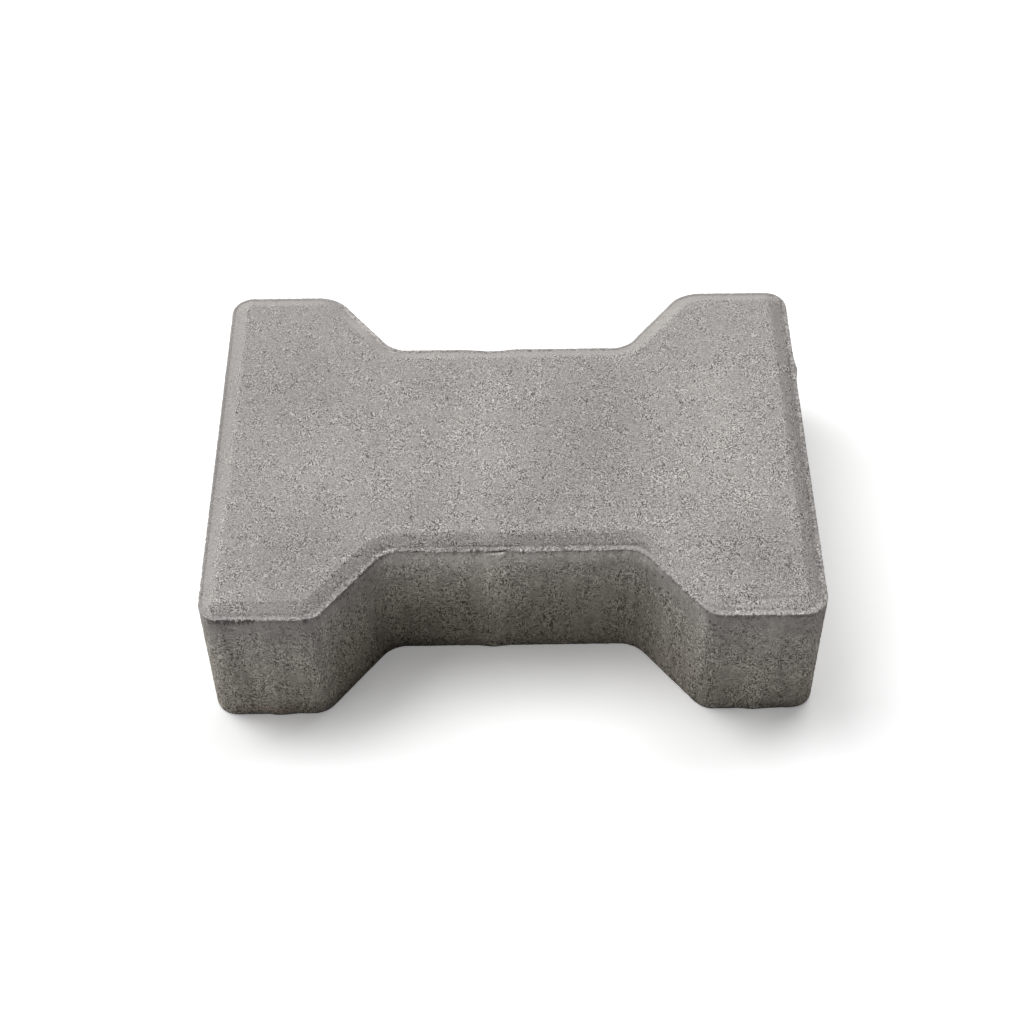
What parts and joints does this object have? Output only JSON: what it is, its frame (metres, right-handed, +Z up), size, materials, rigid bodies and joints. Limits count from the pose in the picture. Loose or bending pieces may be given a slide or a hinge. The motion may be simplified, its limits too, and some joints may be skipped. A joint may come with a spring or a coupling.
{
  "type": "interlocking paving stone",
  "caption": "Interlocking concrete paving stone, double-T in plan, with slanted notch walls, a chamfered top edge with a narrow lip, and upright spacer ribs.",
  "frame": {"origin": "centre of the base, on the ground, midway between the two ends and the two long sides", "axes": "+Z up out of the wearing face, +X along the length from head to head, +Y across from one notch to the other"},
  "size_m": [0.2259, 0.1666, 0.06],
  "materials": {
    "concrete": "matte, fine sandy vibropressed concrete"
  },
  "bodies": {
    "root": {"paving_stone": "concrete"}
  },
  "joints": []
}
